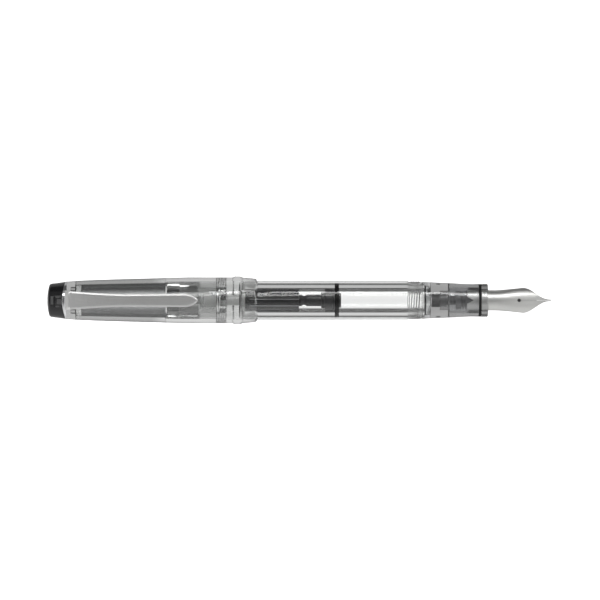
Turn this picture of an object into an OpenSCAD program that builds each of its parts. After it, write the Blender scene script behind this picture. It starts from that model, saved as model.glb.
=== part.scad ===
// Piston-filling fountain pen with a clear body, its cap posted on the tail.
// The pen's axis is X and the nib points to +X. +Z is the side that has the clip
// and the nib's top face. X = 0 is the front end of the barrel's plain wall, where
// the cap thread starts. All sizes are millimetres, and a "station" is a place on X.

/* [Barrel] */
// Radius of the barrel's plain wall
barrel_r = 5.85; // [5.84:0.005:5.86]
// Radius of the ink chamber's bore
bore_r = 3.45; // [3.44:0.005:3.46]
// Length of the plain wall between the posted cap's lip and the cap thread
plain_wall = 45.1; // [45:0.05:45.2]
// Pitch of the cap thread
cap_pitch = 0.76; // [0.74:0.01:0.76]
// Station of the shoulder where the grip section meets the barrel
shoulder_x = 4.8; // [4.75:0.05:4.85]
// Wall behind the cap thread's root, as a radius
thread_root_r = 5.5; // [5.48:0.01:5.52]

/* [Section and nib] */
// Station of the front O-ring's rear side
front_seal_x = 21.1; // [21:0.05:21.2]
// Station where the front flange ends and the nib comes out
nose_x = 23.9; // [23.8:0.05:24]
// Radius of the grip section at its front
grip_r = 4.9; // [4.86:0.02:4.94]
// Half width of the nib at its shoulders
nib_half_w = 3.85; // [3.7:0.05:3.9]
// Station of the nib's tip
nib_tip_x = 42.9; // [42.5:0.1:43.2]
// Thickness of the nib's metal
nib_t = 0.35; // [0.3:0.05:0.35]
// Radius of the nib's breather hole
breather_r = 0.52; // [0.45:0.01:0.55]

/* [Piston mechanism] */
// Travel of the piston for one turn of the knob
spindle_lead = 6; // [5.9:0.1:6]
// Largest radius of the spindle's thread
spindle_r = 1.35; // [1.33:0.01:1.36]
// Radial clearance between the spindle's thread and the nut
nut_clearance = 0.12; // [0.1:0.01:0.13]
// Radius of the piston rod's solid front half
rod_r = 1.74; // [1.7:0.01:1.76]
// Radius of the knob
knob_r = 5.1; // [5.05:0.01:5.12]

/* [Cap] */
// Largest radius of the cap's plain wall
cap_max_r = 6.9; // [6.88:0.01:6.92]
// Radius of the raised band
band_r = 7.2; // [7.1:0.01:7.25]
// Station of the cap's lip when it is posted
lip_x = -45.3; // [-45.35:0.05:-45.25]
// Radius of the bore at the cap's mouth
mouth_r = 5.95; // [5.93:0.01:5.97]
// Station of the crown's end
crown_end_x = -108.2; // [-108.4:0.1:-108]

/* [Clip] */
// Width of the clip at its root
clip_root_w = 5.85; // [5.6:0.05:5.9]
// Width of the clip at its narrowest
clip_waist_w = 3.7; // [3.6:0.05:3.9]
// Thickness of the clip's strap
clip_t = 0.8; // [0.7:0.05:0.8]

/* [Hidden] */

round_fn = 96;
barrel_rear_x = -50;
cap_land = 0.18;
tail_r = barrel_r - cap_land;
nipple_end_x = 6.6;
nipple_r = 4.5;
nose_bore_r = 3.25;
collar_r = 3.9;
collar_x = 12;
feed_r = 2.75;
feed_tail_r = 1.3;
feed_block_x = 14.1;

sleeve_x = -48.9;
sleeve_end_x = -32.7;
sleeve_r = bore_r - 0.05;
key_r = 2.3;
key_flat = 2.0;
neck_rear_x = -62.6;
neck_r = 4;
flats_x = -54.5;
passage_r = 2.4;
liner_r = 2.95;
windows = 6;
window_angle = 12.3;
window_x = -56.25;
window_size = [1.65, 1.5];

knob_end_x = -72.3;
knob_front_x = -54.7;
plug_r = 3.28;
plug_face_x = -68.4;

nut_x = -61.6;
nut_len = 3;
rod_step_x = -32.8;
rod_tube_r = 2.2;
rod_flat = 1.9;
rod_hollow_r = 1.5;
rod_collar_x = -26.1;
head_x = -25;
seal_x = -22.05;
disc_x = -20.7;
spindle_end_x = -39.7;
thread_amp = 0.18;
shank_r = 1.45;

cap_rear_x = -102.2;
ring_rear_x = -102.8;
straight_x = -66;
cavity_end_x = -97.8;
inner_mouth_x = -72.6;
cap_thread_x = -58.8;
cap_thread_turns = 7;
head_bore_r = 1.6;
clip_root_x = -102.5;
clip_tip_x = -62.9;

// Turns a closed outline of [radius, station] points about the pen's axis.
module turned(outline) {
    rotate([0, 90, 0]) rotate_extrude($fn = round_fn) polygon(outline);
}

// Round bar between two stations.
module bar(from, to, r) {
    translate([from, 0, 0]) rotate([0, 90, 0]) cylinder(h = to - from, r = r, $fn = round_fn);
}

// Round tube between two stations.
module tube(from, to, r_out, r_in) {
    difference() {
        bar(from, to, r_out);
        bar(from - 1, to + 1, r_in);
    }
}

// Ring of round cord, with the cord's centre at radius r.
module o_ring(at, r, cord_r) {
    translate([at, 0, 0]) rotate([0, 90, 0]) rotate_extrude($fn = round_fn)
        translate([r, 0]) circle(r = cord_r, $fn = 24);
}

// Points of a round corner in an outline, from angle a0 to a1 about [r, x].
function corner(r, x, size, a0, a1, steps = 6) =
    [for (i = [0:steps]) let (a = a0 + (a1 - a0) * i / steps) [r + size * cos(a), x + size * sin(a)]];

// Points of a row of V ridges from station x, with low and high radii.
function ridges(x, pitch, count, low, high) =
    [for (i = [0:count - 1]) each [[low, x + i * pitch], [high, x + (i + 0.5) * pitch]],
     [low, x + count * pitch]];

// Value that runs smoothly from a to b as t goes from 0 to 1.
function ease(t, a, b) = let (u = max(0, min(1, t))) a + (b - a) * u * u * (3 - 2 * u);

// Reverses a list of points.
function reversed(points) = [for (i = [len(points) - 1:-1:0]) points[i]];

// Outer radius of the cap at a station: parallel near the mouth, tapering to the crown.
function cap_r(x) =
    let (back = max(0, straight_x - x))
    cap_max_r - 0.0268 * back - 0.27 * pow(back / 36, 8);

// Radius of the cap's bore round the inner cap.
function cap_bore_r(x) = 5.08 + 0.47 * (x + 99.6) / 27;

// ---------- Barrel and section ----------

module barrel() {
    tail_edge = 1.1;
    relief_r = 5.45;
    flange_r = 5.67;
    color([0.93, 0.94, 0.94, 0.3]) turned(concat(
        [[bore_r, barrel_rear_x]],
        reversed(corner(tail_r - tail_edge, barrel_rear_x + tail_edge, tail_edge, 0, -90)),
        [[tail_r, -plain_wall - cap_land], [barrel_r, -plain_wall], [barrel_r, 0]],
        ridges(0.04, cap_pitch, 5, thread_root_r, barrel_r - 0.03),
        [[relief_r, 3.9], [relief_r, 4.2], [flange_r, 4.3], [flange_r, shoulder_x],
         [nipple_r, shoulder_x], [nipple_r, 4.9], [4.02, 4.9], [4.02, 5.5], [nipple_r, 5.5]],
        ridges(5.55, 0.48, 2, nipple_r - 0.15, nipple_r),
        [[nipple_r - 0.15, nipple_end_x], [bore_r, nipple_end_x]]
    ));
}

module section() {
    socket_r = nipple_r + 0.1;
    color([0.55, 0.56, 0.57, 0.45]) turned([
        [socket_r, shoulder_x + 0.02], [5.52, shoulder_x + 0.02], [5.5, 6.2], [5.25, 12],
        [5.02, 15.6], [grip_r - 0.03, 18.4], [grip_r, 20.4], [grip_r, front_seal_x],
        [collar_r + 0.05, front_seal_x],
        [collar_r + 0.05, collar_x - 0.1], [feed_tail_r + 0.05, collar_x - 0.1],
        [feed_tail_r + 0.05, nipple_end_x + 0.1], [socket_r, nipple_end_x + 0.1]
    ]);
}

module section_seal() {
    color([0.05, 0.05, 0.05]) o_ring(5.2, 4.3, 0.27);
}

module nib_collar() {
    lip_r = grip_r + 0.1;
    edge = 0.7;
    color([0.55, 0.56, 0.57, 0.45]) turned(concat(
        [[nose_bore_r, collar_x], [collar_r, collar_x], [collar_r, front_seal_x + 0.8],
         [lip_r, front_seal_x + 0.8]],
        corner(lip_r - edge, nose_x - edge, edge, 0, 90),
        [[nose_bore_r, nose_x]]
    ));
}

module front_seal() {
    color([0.04, 0.04, 0.04]) o_ring(front_seal_x + 0.4, grip_r - 0.4, 0.4);
}

// ---------- Nib and feed ----------

nib_tail_x = 17.6;
nib_shoulder_x = 34.5;
nib_neck_x = 26;
nib_base_w = 3.05;
nib_base_rho = 3.2;
nib_tip_w = 0.26;
breather_x = 33.2;

// Half width of the nib at a station.
function nib_w(x) =
    x < nib_neck_x ? nib_base_w
    : x < nib_shoulder_x
        ? nib_base_w + (nib_half_w - nib_base_w) * pow((x - nib_neck_x) / (nib_shoulder_x - nib_neck_x), 1.3)
    : let (u = max(0, (nib_tip_x - x) / (nib_tip_x - nib_shoulder_x)))
        nib_tip_w + (nib_half_w - nib_tip_w) * pow(sin(90 * pow(u, 1.25)), 2);

// Radius of the nib's curve across, flatter towards the shoulders.
function nib_rho(x) = ease((x - nib_neck_x) / 9, nib_base_rho, 4.7);

// Height of the nib's top line.
function nib_top(x) = nib_base_rho - 2.35 * pow(max(0, x - nib_neck_x) / (nib_tip_x - nib_neck_x), 1.6);

// One rib across the nib: points on the arc of radius rho - inset.
function nib_rib(x, inset, half, steps) =
    let (rho = nib_rho(x), turn = asin(min(0.97, half / rho)))
    [for (i = [0:steps])
        let (a = -turn + 2 * turn * i / steps)
        [x, (rho - inset) * sin(a), nib_top(x) - rho + (rho - inset) * cos(a)]];

// Solid made from rings of the same number of points, closed at both ends.
module loft(rings) {
    n = len(rings[0]);
    m = len(rings);
    polyhedron(
        points = [for (ring = rings) each ring],
        faces = concat(
            [[for (j = [0:n - 1]) j]],
            [for (i = [0:m - 2], j = [0:n - 1])
                let (k = (j + 1) % n) [i * n + j, (i + 1) * n + j, (i + 1) * n + k, i * n + k]],
            [[for (j = [n - 1:-1:0]) (m - 1) * n + j]]
        )
    );
}

module nib() {
    across = 10;
    along = 26;
    slit = 0.12;
    stations = [for (i = [0:along]) nib_tail_x + (nib_tip_x - nib_tail_x) * i / along];
    color([0.74, 0.74, 0.73]) difference() {
        loft([for (x = stations)
            concat(nib_rib(x, nib_t, nib_w(x), across), reversed(nib_rib(x, 0, nib_w(x), across)))]);
        translate([breather_x, 0, 0]) cylinder(h = 6, r = breather_r, $fn = 32);
        translate([breather_x, -slit / 2, -1]) cube([10, slit, 6]);
        translate([nib_tail_x - 0.1, 0, 0]) cylinder(h = 6, r = 1.2, $fn = 32);
    }
}

// The hard pellet under the nib's tip.
module tipping() {
    color([0.8, 0.8, 0.8])
        translate([nib_tip_x - 0.35, 0, nib_top(nib_tip_x) - nib_t - 0.3]) sphere(r = 0.28, $fn = 24);
}

module feed() {
    front_x = 38.6;
    body_front_x = 25;
    half_w = 1.7;
    fins = 12;
    fin_pitch = 0.75;
    fin_x = 26;
    fin_gap = 0.3;
    gap = 0.12;
    steps = 8;
    // Height of the feed's flat top, clear of the curved nib over it.
    function top(x) =
        let (rho = nib_rho(x) - nib_t)
        nib_top(x) - nib_rho(x) + sqrt(rho * rho - half_w * half_w) - gap;
    function belly(x) = -feed_r + (top(front_x) - 0.35 + feed_r)
        * pow((x - body_front_x) / (front_x - body_front_x), 1.8);
    line = [for (i = [0:steps]) body_front_x + (front_x - body_front_x) * i / steps];
    color([0.06, 0.06, 0.06]) difference() {
        union() {
            bar(nipple_end_x + 0.4, feed_block_x + 0.1, feed_tail_r);
            bar(feed_block_x, body_front_x, feed_r);
            intersection() {
                rotate([90, 0, 0]) translate([0, 0, -half_w]) linear_extrude(2 * half_w)
                    polygon(concat([for (x = line) [x - 0.1, top(x)]],
                                   reversed([for (x = line) [x - 0.1, belly(x)]])));
                bar(body_front_x - 0.2, front_x, feed_r);
            }
        }
        for (x = [16, 16.8]) tube(x - 0.17, x + 0.17, feed_r + 1, 2);
        // Comb fins: slots across the feed's underside.
        for (i = [0:fins - 1])
            translate([fin_x + i * fin_pitch, -half_w - 1, -feed_r - 1])
                cube([fin_gap, 2 * half_w + 2, feed_r + 1.2 + 0.02 * i]);
        // Ink channel along the top.
        translate([feed_block_x + 4, -0.2, feed_r - 0.5]) cube([8, 0.4, 1]);
    }
}

// ---------- Piston mechanism held by the barrel ----------

// Bar with two flats across Y, for parts that slide but can't turn.
module keyed_bar(from, to, r, flat) {
    intersection() {
        bar(from, to, r);
        translate([from - 1, -flat, -r - 1]) cube([to - from + 2, 2 * flat, 2 * r + 2]);
    }
}

module guide_sleeve() {
    slot_angle = 14;
    slot_w = 2.1;
    slot_depth = 0.22;
    color([0.05, 0.05, 0.055]) difference() {
        bar(sleeve_x, sleeve_end_x, sleeve_r);
        keyed_bar(sleeve_x - 1, sleeve_end_x + 1, key_r, key_flat);
        rotate([slot_angle, 0, 0]) translate([sleeve_x + 1.5, -slot_w / 2, sleeve_r - slot_depth])
            cube([sleeve_end_x - sleeve_x, slot_w, 1]);
    }
}

// Repeats a shape at each window round the neck.
module at_windows() {
    for (i = [0:windows - 1]) rotate([-window_angle + i * 360 / windows, 0, 0]) children();
}

module mechanism_collar() {
    hex_r = 4.75;
    hex_flat = 4.25;
    flange_x = -50.6;
    spigot_r = bore_r - 0.03;
    color([0.9, 0.91, 0.91, 0.35]) difference() {
        union() {
            turned(concat(
                [[liner_r, neck_rear_x]],
                ridges(neck_rear_x, 0.72, 7, neck_r - 0.28, neck_r),
                [[3.7, -57.5], [3.7, -56.5], [neck_r, -56.5], [neck_r, flats_x], [liner_r, flats_x]]
            ));
            intersection() {
                tube(flats_x, flange_x, hex_r, passage_r);
                translate([flats_x - 1, -hex_r - 1, -hex_flat]) cube([6, 2 * hex_r + 2, 2 * hex_flat]);
            }
            turned([[passage_r, flange_x], [knob_r, flange_x], [knob_r, barrel_rear_x],
                    [spigot_r, barrel_rear_x], [spigot_r, sleeve_x - 0.1], [passage_r, sleeve_x - 0.1]]);
        }
        at_windows() translate([window_x, -window_size[1] / 2, liner_r - 0.5])
            cube([window_size[0], window_size[1], 3]);
    }
}

module lock_ring() {
    play = 0.06;
    color([0.06, 0.06, 0.06]) {
        tube(window_x - 0.6, flats_x - 0.05, liner_r - 0.05, passage_r);
        at_windows() difference() {
            translate([window_x + play, -window_size[1] / 2 + play, passage_r + 0.3])
                cube([window_size[0] - 2 * play, window_size[1] - 2 * play, neck_r - passage_r - 0.4]);
            bar(window_x - 1, flats_x, passage_r + 0.1);
        }
    }
}

module rear_seal() {
    color([0.05, 0.05, 0.05]) o_ring(barrel_rear_x - 0.3, 5.3, 0.2);
}

// ---------- Knob, spindle and piston ----------

module knob() {
    edge = 0.6;
    skirt_r = neck_r + 0.1;
    groove = [-57.45, -56.55];
    cavity_r = 3;
    color([0.9, 0.91, 0.92, 0.3]) turned(concat(
        [[plug_r + 0.02, knob_end_x]],
        reversed(corner(knob_r - edge, knob_end_x + edge, edge, 0, -90)),
        [[knob_r, knob_front_x], [skirt_r, knob_front_x],
         [skirt_r, groove[1]], [4.45, groove[1]], [4.45, groove[0]], [skirt_r, groove[0]],
         [skirt_r, neck_rear_x - 0.3], [cavity_r, neck_rear_x - 0.3],
         [cavity_r, plug_face_x], [plug_r + 0.02, plug_face_x]]
    ));
}

module knob_plug() {
    chamfer = 0.25;
    color([0.05, 0.05, 0.05]) difference() {
        turned([[0, knob_end_x + 0.15], [plug_r - chamfer, knob_end_x + 0.15],
                [plug_r, knob_end_x + 0.15 + chamfer], [plug_r, plug_face_x], [0, plug_face_x]]);
        bar(knob_end_x + 1.2, plug_face_x + 1, shank_r + 0.02);
    }
}

// Outline of the two-start thread: a circle with two soft lobes.
function thread_outline(grow) =
    [for (i = [0:15]) let (a = i * 22.5, r = spindle_r - thread_amp + grow + thread_amp * cos(2 * a))
        [r * cos(a), r * sin(a)]];

// Twisted bar with the spindle's lead, in step with itself wherever it starts.
module helix(from, to, grow) {
    per_slice = 18;
    twist = 360 * (to - from) / spindle_lead;
    rotate([0, 90, 0]) translate([0, 0, from]) rotate([0, 0, 360 * from / spindle_lead])
        linear_extrude(to - from, twist = -twist, slices = ceil(twist / per_slice))
            polygon(thread_outline(grow));
}

module spindle() {
    color([0.07, 0.07, 0.07]) {
        bar(knob_end_x + 1.3, plug_face_x + 0.15, shank_r);
        helix(plug_face_x - 0.1, spindle_end_x, 0);
    }
}

module knob_ring() {
    color([0.75, 0.75, 0.76]) difference() {
        tube(-57.4, -56.6, 4.4, 3.76);
        translate([-58, -0.6, -6]) cube([2, 1.2, 4]);
    }
}

module piston_rod() {
    groove_x = -31.2;
    groove_half = 0.8;
    groove_depth = 0.4;
    spigot_r = 1.22;
    screw_r = 0.6;
    color([0.06, 0.06, 0.06]) difference() {
        union() {
            keyed_bar(nut_x, rod_step_x, rod_tube_r, rod_flat);
            turned(concat(
                [[0, rod_step_x - 0.05], [rod_r, rod_step_x - 0.05]],
                [for (i = [0:8]) let (u = -1 + i / 4)
                    [rod_r - groove_depth * (1 - u * u), groove_x + u * groove_half]],
                [[rod_r, rod_collar_x], [2.4, rod_collar_x + 0.15], [2.4, head_x], [spigot_r, head_x],
                 [spigot_r, disc_x], [0, disc_x]]
            ));
        }
        bar(nut_x + nut_len, rod_step_x - 0.2, rod_hollow_r);
        helix(nut_x - 0.3, nut_x + nut_len + 0.3, nut_clearance);
        bar(head_x + 0.6, disc_x + 1, screw_r);
    }
}

module piston_head() {
    color([0.07, 0.07, 0.07]) turned([
        [1.25, head_x], [3.2, head_x], [3.38, head_x + 0.2], [3.38, seal_x - 0.75],
        [3.15, seal_x - 0.6], [3.15, seal_x - 0.3], [3.38, seal_x - 0.15], [3.38, seal_x],
        [1.25, seal_x]
    ]);
}

module piston_seal() {
    rim = bore_r - 0.02;
    color([0.03, 0.03, 0.03]) turned([
        [1.25, seal_x + 0.01], [3.1, seal_x + 0.01], [rim, seal_x + 0.4], [rim, disc_x - 0.4],
        [3.1, disc_x - 0.01], [1.25, disc_x - 0.01]
    ]);
}

module seal_screw() {
    edge = 0.25;
    disc_r = 2.2;
    color([0.06, 0.06, 0.06]) turned(concat(
        [[0, head_x + 0.8], [0.57, head_x + 0.8], [0.57, disc_x], [disc_r, disc_x]],
        corner(disc_r - edge, disc_x + 0.6 - edge, edge, 0, 90),
        [[0, disc_x + 0.6]]
    ));
}

// ---------- Cap ----------

module cap_shell() {
    outside = [for (i = [0:20]) let (x = cap_rear_x + (straight_x - cap_rear_x) * i / 20) [cap_r(x), x]];
    thread_low = cap_bore_r(inner_mouth_x) + 0.05;
    thread_end_x = cap_thread_x + cap_thread_turns * 0.72;
    screw_head_r = 2.7;
    color([0.92, 0.93, 0.93, 0.3]) turned(concat(
        [[head_bore_r, cap_rear_x]],
        outside,
        [[cap_max_r, -52.5], [band_r - 0.15, -52.3], [band_r, -52], [band_r, -50.2],
         [cap_max_r, -49.8], [6.65, -47.2], [6.5, lip_x + -0.4], [6.12, lip_x], [mouth_r, lip_x],
         [mouth_r, thread_end_x]],
        reversed(ridges(cap_thread_x, 0.72, cap_thread_turns, mouth_r, thread_low)),
        [[thread_low, cap_thread_x - 0.1], [thread_low, inner_mouth_x],
         [cap_bore_r(inner_mouth_x), inner_mouth_x], [cap_bore_r(-99.6), -99.6],
         [screw_head_r, -99.6], [screw_head_r, -101], [head_bore_r, -101]]
    ));
}

module inner_cap() {
    skin = 0.05;
    wall = 0.5;
    end_x = -99.4;
    color([0.6, 0.6, 0.61, 0.5]) turned([
        [0, end_x], [cap_bore_r(end_x) - skin - 0.2, end_x], [cap_bore_r(end_x) - skin, end_x + 0.2],
        [cap_bore_r(inner_mouth_x) - skin, inner_mouth_x - 0.05],
        [cap_bore_r(inner_mouth_x) - wall, inner_mouth_x - 0.05],
        [cap_bore_r(cavity_end_x) - wall, cavity_end_x], [0, cavity_end_x]
    ]);
}

module crown() {
    edge = 1;
    seat_r = 5.58;
    end_r = 4.95;
    dome_r = 12.5;
    dome_edge = end_r - edge;
    dome_sag = dome_edge * dome_edge / (2 * dome_r);
    color([0.05, 0.05, 0.055]) turned(concat(
        [for (i = [0:4]) let (r = dome_edge * i / 4) [r, crown_end_x + r * r / (2 * dome_r)]],
        reversed(corner(dome_edge, crown_end_x + dome_sag + edge, edge, 0, -80)),
        [[seat_r, ring_rear_x], [head_bore_r - 0.15, ring_rear_x], [head_bore_r - 0.15, -106.4],
         [0, -106.4]]
    ));
}

module crown_screw() {
    color([0.7, 0.7, 0.71]) difference() {
        union() {
            bar(-106.2, -101, head_bore_r - 0.2);
            bar(-101, -99.7, 2.6);
        }
        translate([-100.3, -2.7, -0.3]) cube([1, 5.4, 0.6]);
    }
}

module clip_ring() {
    ring_r = 5.66;
    tab_half_w = 1.9;
    color([0.85, 0.85, 0.86]) {
        tube(ring_rear_x, cap_rear_x, ring_r, head_bore_r);
        translate([ring_rear_x, -tab_half_w, 5]) cube([cap_rear_x - ring_rear_x, 2 * tab_half_w, 1.02]);
        translate([ring_rear_x, -tab_half_w, 5.75]) cube([1.4, 2 * tab_half_w, 0.27]);
    }
}

// Height of the clip's top face above the axis.
function clip_top(x) =
    x < -96 ? ease((x - clip_root_x) / (-96 - clip_root_x), 7.1, 8.4)
    : x < -78 ? 8.4 + 0.2 * (x + 96) / 18
    : x < -67 ? ease((x + 78) / 11, 8.6, 7.75)
    : 7.75 + 0.25 * (x + 67) / (clip_tip_x + 67);

// Half width of the clip's strap.
function clip_half(x) =
    let (root = clip_root_w / 2, waist = clip_waist_w / 2, spade = 2.0)
    x < -84 ? waist + (root - waist) * pow((-84 - x) / (-84 - clip_root_x), 1.6)
    : x < -67 ? ease((x + 84) / 17, waist, spade)
    : spade * pow(max(0, (clip_tip_x - x) / (clip_tip_x + 67)), 0.62);

module clip() {
    steps = 32;
    line = [for (i = [0:steps]) clip_root_x + (clip_tip_x - clip_root_x) * i / steps];
    plan = [for (i = [0:steps]) let (u = i / steps, x = clip_root_x + (clip_tip_x - clip_root_x)
        * (1 - pow(1 - u, 1.3))) [x, clip_half(x)]];
    color([0.62, 0.62, 0.62]) intersection() {
        rotate([90, 0, 0]) translate([0, 0, -4]) linear_extrude(8)
            polygon(concat([for (x = line) [x, clip_top(x)]],
                           reversed([for (x = line) [x, clip_top(x) - clip_t]])));
        linear_extrude(12)
            polygon(concat(plan, reversed([for (p = plan) if (p[1] > 0) [p[0], -p[1]]])));
    }
}

barrel();
section();
section_seal();
nib_collar();
front_seal();
nib();
tipping();
feed();
guide_sleeve();
mechanism_collar();
lock_ring();
rear_seal();
knob();
knob_plug();
spindle();
knob_ring();
piston_rod();
piston_head();
piston_seal();
seal_screw();
cap_shell();
inner_cap();
crown();
crown_screw();
clip_ring();
clip();
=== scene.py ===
"""Looks for the clear piston-filling fountain pen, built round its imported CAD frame.

The pen lies along X, nib at +X, with the clip and the nib's top facing +Z. A "station" is a place on
X, and an angle round the axis goes from +Z towards +Y. Lengths of pieces are millimetres until the
mesh helpers turn them into metres. The lights and the camera are in metres.
"""
import math

import bmesh
import bpy
import numpy as np
from mathutils import Matrix, Vector, geometry


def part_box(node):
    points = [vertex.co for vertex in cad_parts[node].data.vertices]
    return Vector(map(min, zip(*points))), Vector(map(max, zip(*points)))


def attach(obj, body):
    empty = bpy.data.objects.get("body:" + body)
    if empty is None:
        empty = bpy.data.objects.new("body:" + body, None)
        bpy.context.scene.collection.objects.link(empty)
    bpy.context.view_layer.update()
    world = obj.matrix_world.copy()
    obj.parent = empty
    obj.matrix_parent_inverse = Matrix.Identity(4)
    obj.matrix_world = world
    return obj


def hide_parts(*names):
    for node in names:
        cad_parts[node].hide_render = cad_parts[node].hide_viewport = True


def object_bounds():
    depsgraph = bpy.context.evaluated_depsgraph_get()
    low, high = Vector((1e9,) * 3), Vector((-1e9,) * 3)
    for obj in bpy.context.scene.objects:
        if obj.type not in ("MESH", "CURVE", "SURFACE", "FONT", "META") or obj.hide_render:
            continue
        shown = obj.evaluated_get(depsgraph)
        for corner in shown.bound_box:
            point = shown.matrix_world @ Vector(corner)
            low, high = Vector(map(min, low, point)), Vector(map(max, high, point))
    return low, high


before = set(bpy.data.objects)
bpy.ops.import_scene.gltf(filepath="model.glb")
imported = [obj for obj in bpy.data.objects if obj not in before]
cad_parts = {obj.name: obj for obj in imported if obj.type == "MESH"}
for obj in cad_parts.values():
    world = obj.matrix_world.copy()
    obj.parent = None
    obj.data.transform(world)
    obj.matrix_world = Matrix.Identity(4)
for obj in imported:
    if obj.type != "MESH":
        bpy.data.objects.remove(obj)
cad_low, cad_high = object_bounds()

MM = 0.001
FULL_TURN = 2 * math.pi
ROUND = 144
WELD = 1e-8


def span(node):
    """Rear station, front station and largest half width of a CAD node, in millimetres."""
    low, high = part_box(node)
    return low.x / MM, high.x / MM, high.y / MM


# ---- mesh helpers


def ease(t):
    """Smooth step from 0 to 1."""
    t = min(1.0, max(0.0, t))
    return t * t * (3 - 2 * t)


def is_closed(outline):
    """An outline is a closed loop unless it starts on the axis, where it then also ends."""
    return outline[0][0] > 0


def rounded(outline, size, steps=3):
    """Rounds the corners of an outline of (radius, station) or (radius, station, corner size) points.

    Straight stretches get a point near each end, so that smooth shading leaves them straight.
    """
    points = [(np.array(p[:2], float), p[2] if len(p) > 2 else size) for p in outline]
    count = len(points)
    out = []
    for i, (p, fillet) in enumerate(points):
        is_end = not is_closed(outline) and i in (0, count - 1)
        before, after = points[i - 1][0], points[(i + 1) % count][0]
        if is_end or fillet <= 0:
            out.append(p)
            continue
        to_before, to_after = before - p, after - p
        len_before, len_after = np.linalg.norm(to_before), np.linalg.norm(to_after)
        reach = min(fillet, 0.42 * len_before, 0.42 * len_after)
        guard = min(0.3 * reach, 0.05)
        a = p + to_before / len_before * reach
        b = p + to_after / len_after * reach
        if len_before > 5 * reach:
            out.append(a + to_before / len_before * guard)
        for k in range(steps + 1):
            s = k / steps
            out.append((1 - s) ** 2 * a + 2 * s * (1 - s) * p + s * s * b)
        if len_after > 5 * reach:
            out.append(b + to_after / len_after * guard)
    return out


def stretch(outline, lows, highs, step):
    """Adds points every step along the outline's straight stretches inside stations lows..highs."""
    margin = 0.2
    out = []
    count = len(outline)
    for i in range(count):
        a, b = np.array(outline[i][:2], float), np.array(outline[(i + 1) % count][:2], float)
        out.append(a)
        if min(a[1], b[1]) < lows - margin or max(a[1], b[1]) > highs + margin:
            continue
        pieces = int(np.linalg.norm(b - a) / step)
        out.extend(a + (b - a) * k / pieces for k in range(1, pieces))
    return out


def add_object(name, data):
    """Object with the given mesh, light or camera, in the scene."""
    obj = bpy.data.objects.new(name, data)
    bpy.context.scene.collection.objects.link(obj)
    return obj


def mesh_of(bm, name):
    """Turns working geometry into a mesh and frees it."""
    mesh = bpy.data.meshes.new(name)
    bm.to_mesh(mesh)
    bm.free()
    return mesh


def merged(name, objects):
    """One mesh from several objects, which are taken away."""
    bm = bmesh.new()
    for obj in objects:
        bm.from_mesh(obj.data)
    for obj in objects:
        bpy.data.objects.remove(obj)
    return mesh_of(bm, name)


def smooth(mesh, sharp_deg=38):
    mesh.shade_smooth()
    mesh.set_sharp_from_angle(angle=math.radians(sharp_deg))


def finish_object(name, mesh, material):
    """Smooth shaded object from a mesh, with its material."""
    smooth(mesh)
    mesh.materials.clear()
    mesh.materials.append(material)
    return add_object(name, mesh)


def make_object(name, verts, faces, material):
    """Mesh object from millimetre points, smooth shaded, with outward faces."""
    mesh = bpy.data.meshes.new(name)
    mesh.from_pydata([(x * MM, y * MM, z * MM) for x, y, z in verts], [], faces)
    bm = bmesh.new()
    bm.from_mesh(mesh)
    bmesh.ops.remove_doubles(bm, verts=bm.verts, dist=WELD)
    bmesh.ops.recalc_face_normals(bm, faces=bm.faces)
    bm.to_mesh(mesh)
    bm.free()
    return finish_object(name, mesh, material)


def lathe(name, outline, material, around=ROUND, shape=None):
    """Outline turned about X. shape(radius, station, angle) may move each point."""
    verts, faces, rings = [], [], []
    for r, x in outline:
        if r < 1e-6:
            rings.append([len(verts)] * around)
            verts.append((x, 0.0, 0.0))
            continue
        ring = []
        for j in range(around):
            angle = FULL_TURN * j / around
            rr, xx = shape(r, x, angle) if shape else (r, x)
            ring.append(len(verts))
            verts.append((xx, rr * math.sin(angle), rr * math.cos(angle)))
        rings.append(ring)
    pairs = len(rings) if is_closed(outline) else len(rings) - 1
    for i in range(pairs):
        ring, following = rings[i], rings[(i + 1) % len(rings)]
        for j in range(around):
            k = (j + 1) % around
            unique = list(dict.fromkeys([ring[j], ring[k], following[k], following[j]]))
            if len(unique) > 2:
                faces.append(unique)
    return make_object(name, verts, faces, material)


def loft(name, rings, material):
    """Closed solid through rings of the same number of points."""
    count = len(rings[0])
    verts = [p for ring in rings for p in ring]
    faces = [list(range(count)), [(len(rings) - 1) * count + j for j in reversed(range(count))]]
    for i in range(len(rings) - 1):
        for j in range(count):
            k = (j + 1) % count
            faces.append([i * count + j, (i + 1) * count + j, (i + 1) * count + k, i * count + k])
    return make_object(name, verts, faces, material)


def block(low, high, turn=0.0, material=None):
    """Block between two corners, turned about X by an angle from +Z towards +Y."""
    bm = bmesh.new()
    bmesh.ops.create_cube(bm, size=1)
    for v in bm.verts:
        p = [low[i] + (high[i] - low[i]) * (v.co[i] + 0.5) for i in range(3)]
        y = p[1] * math.cos(turn) + p[2] * math.sin(turn)
        z = -p[1] * math.sin(turn) + p[2] * math.cos(turn)
        v.co = Vector((p[0], y, z)) * MM
    obj = add_object("block", mesh_of(bm, "block"))
    if material:
        obj.data.materials.append(material)
    return obj


def applied(obj):
    """Replaces an object's mesh with the result of its modifiers."""
    depsgraph = bpy.context.evaluated_depsgraph_get()
    mesh = bpy.data.meshes.new_from_object(obj.evaluated_get(depsgraph))
    obj.modifiers.clear()
    obj.data = mesh
    smooth(mesh)
    return obj


def cut(obj, cutters):
    """Takes the cutters' volume out of an object."""
    joined = add_object("cutters", merged("cutters", cutters))
    modifier = obj.modifiers.new("cut", "BOOLEAN")
    modifier.operation = "DIFFERENCE"
    modifier.solver = "EXACT"
    modifier.object = joined
    applied(obj)
    bpy.data.objects.remove(joined)
    return obj


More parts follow.
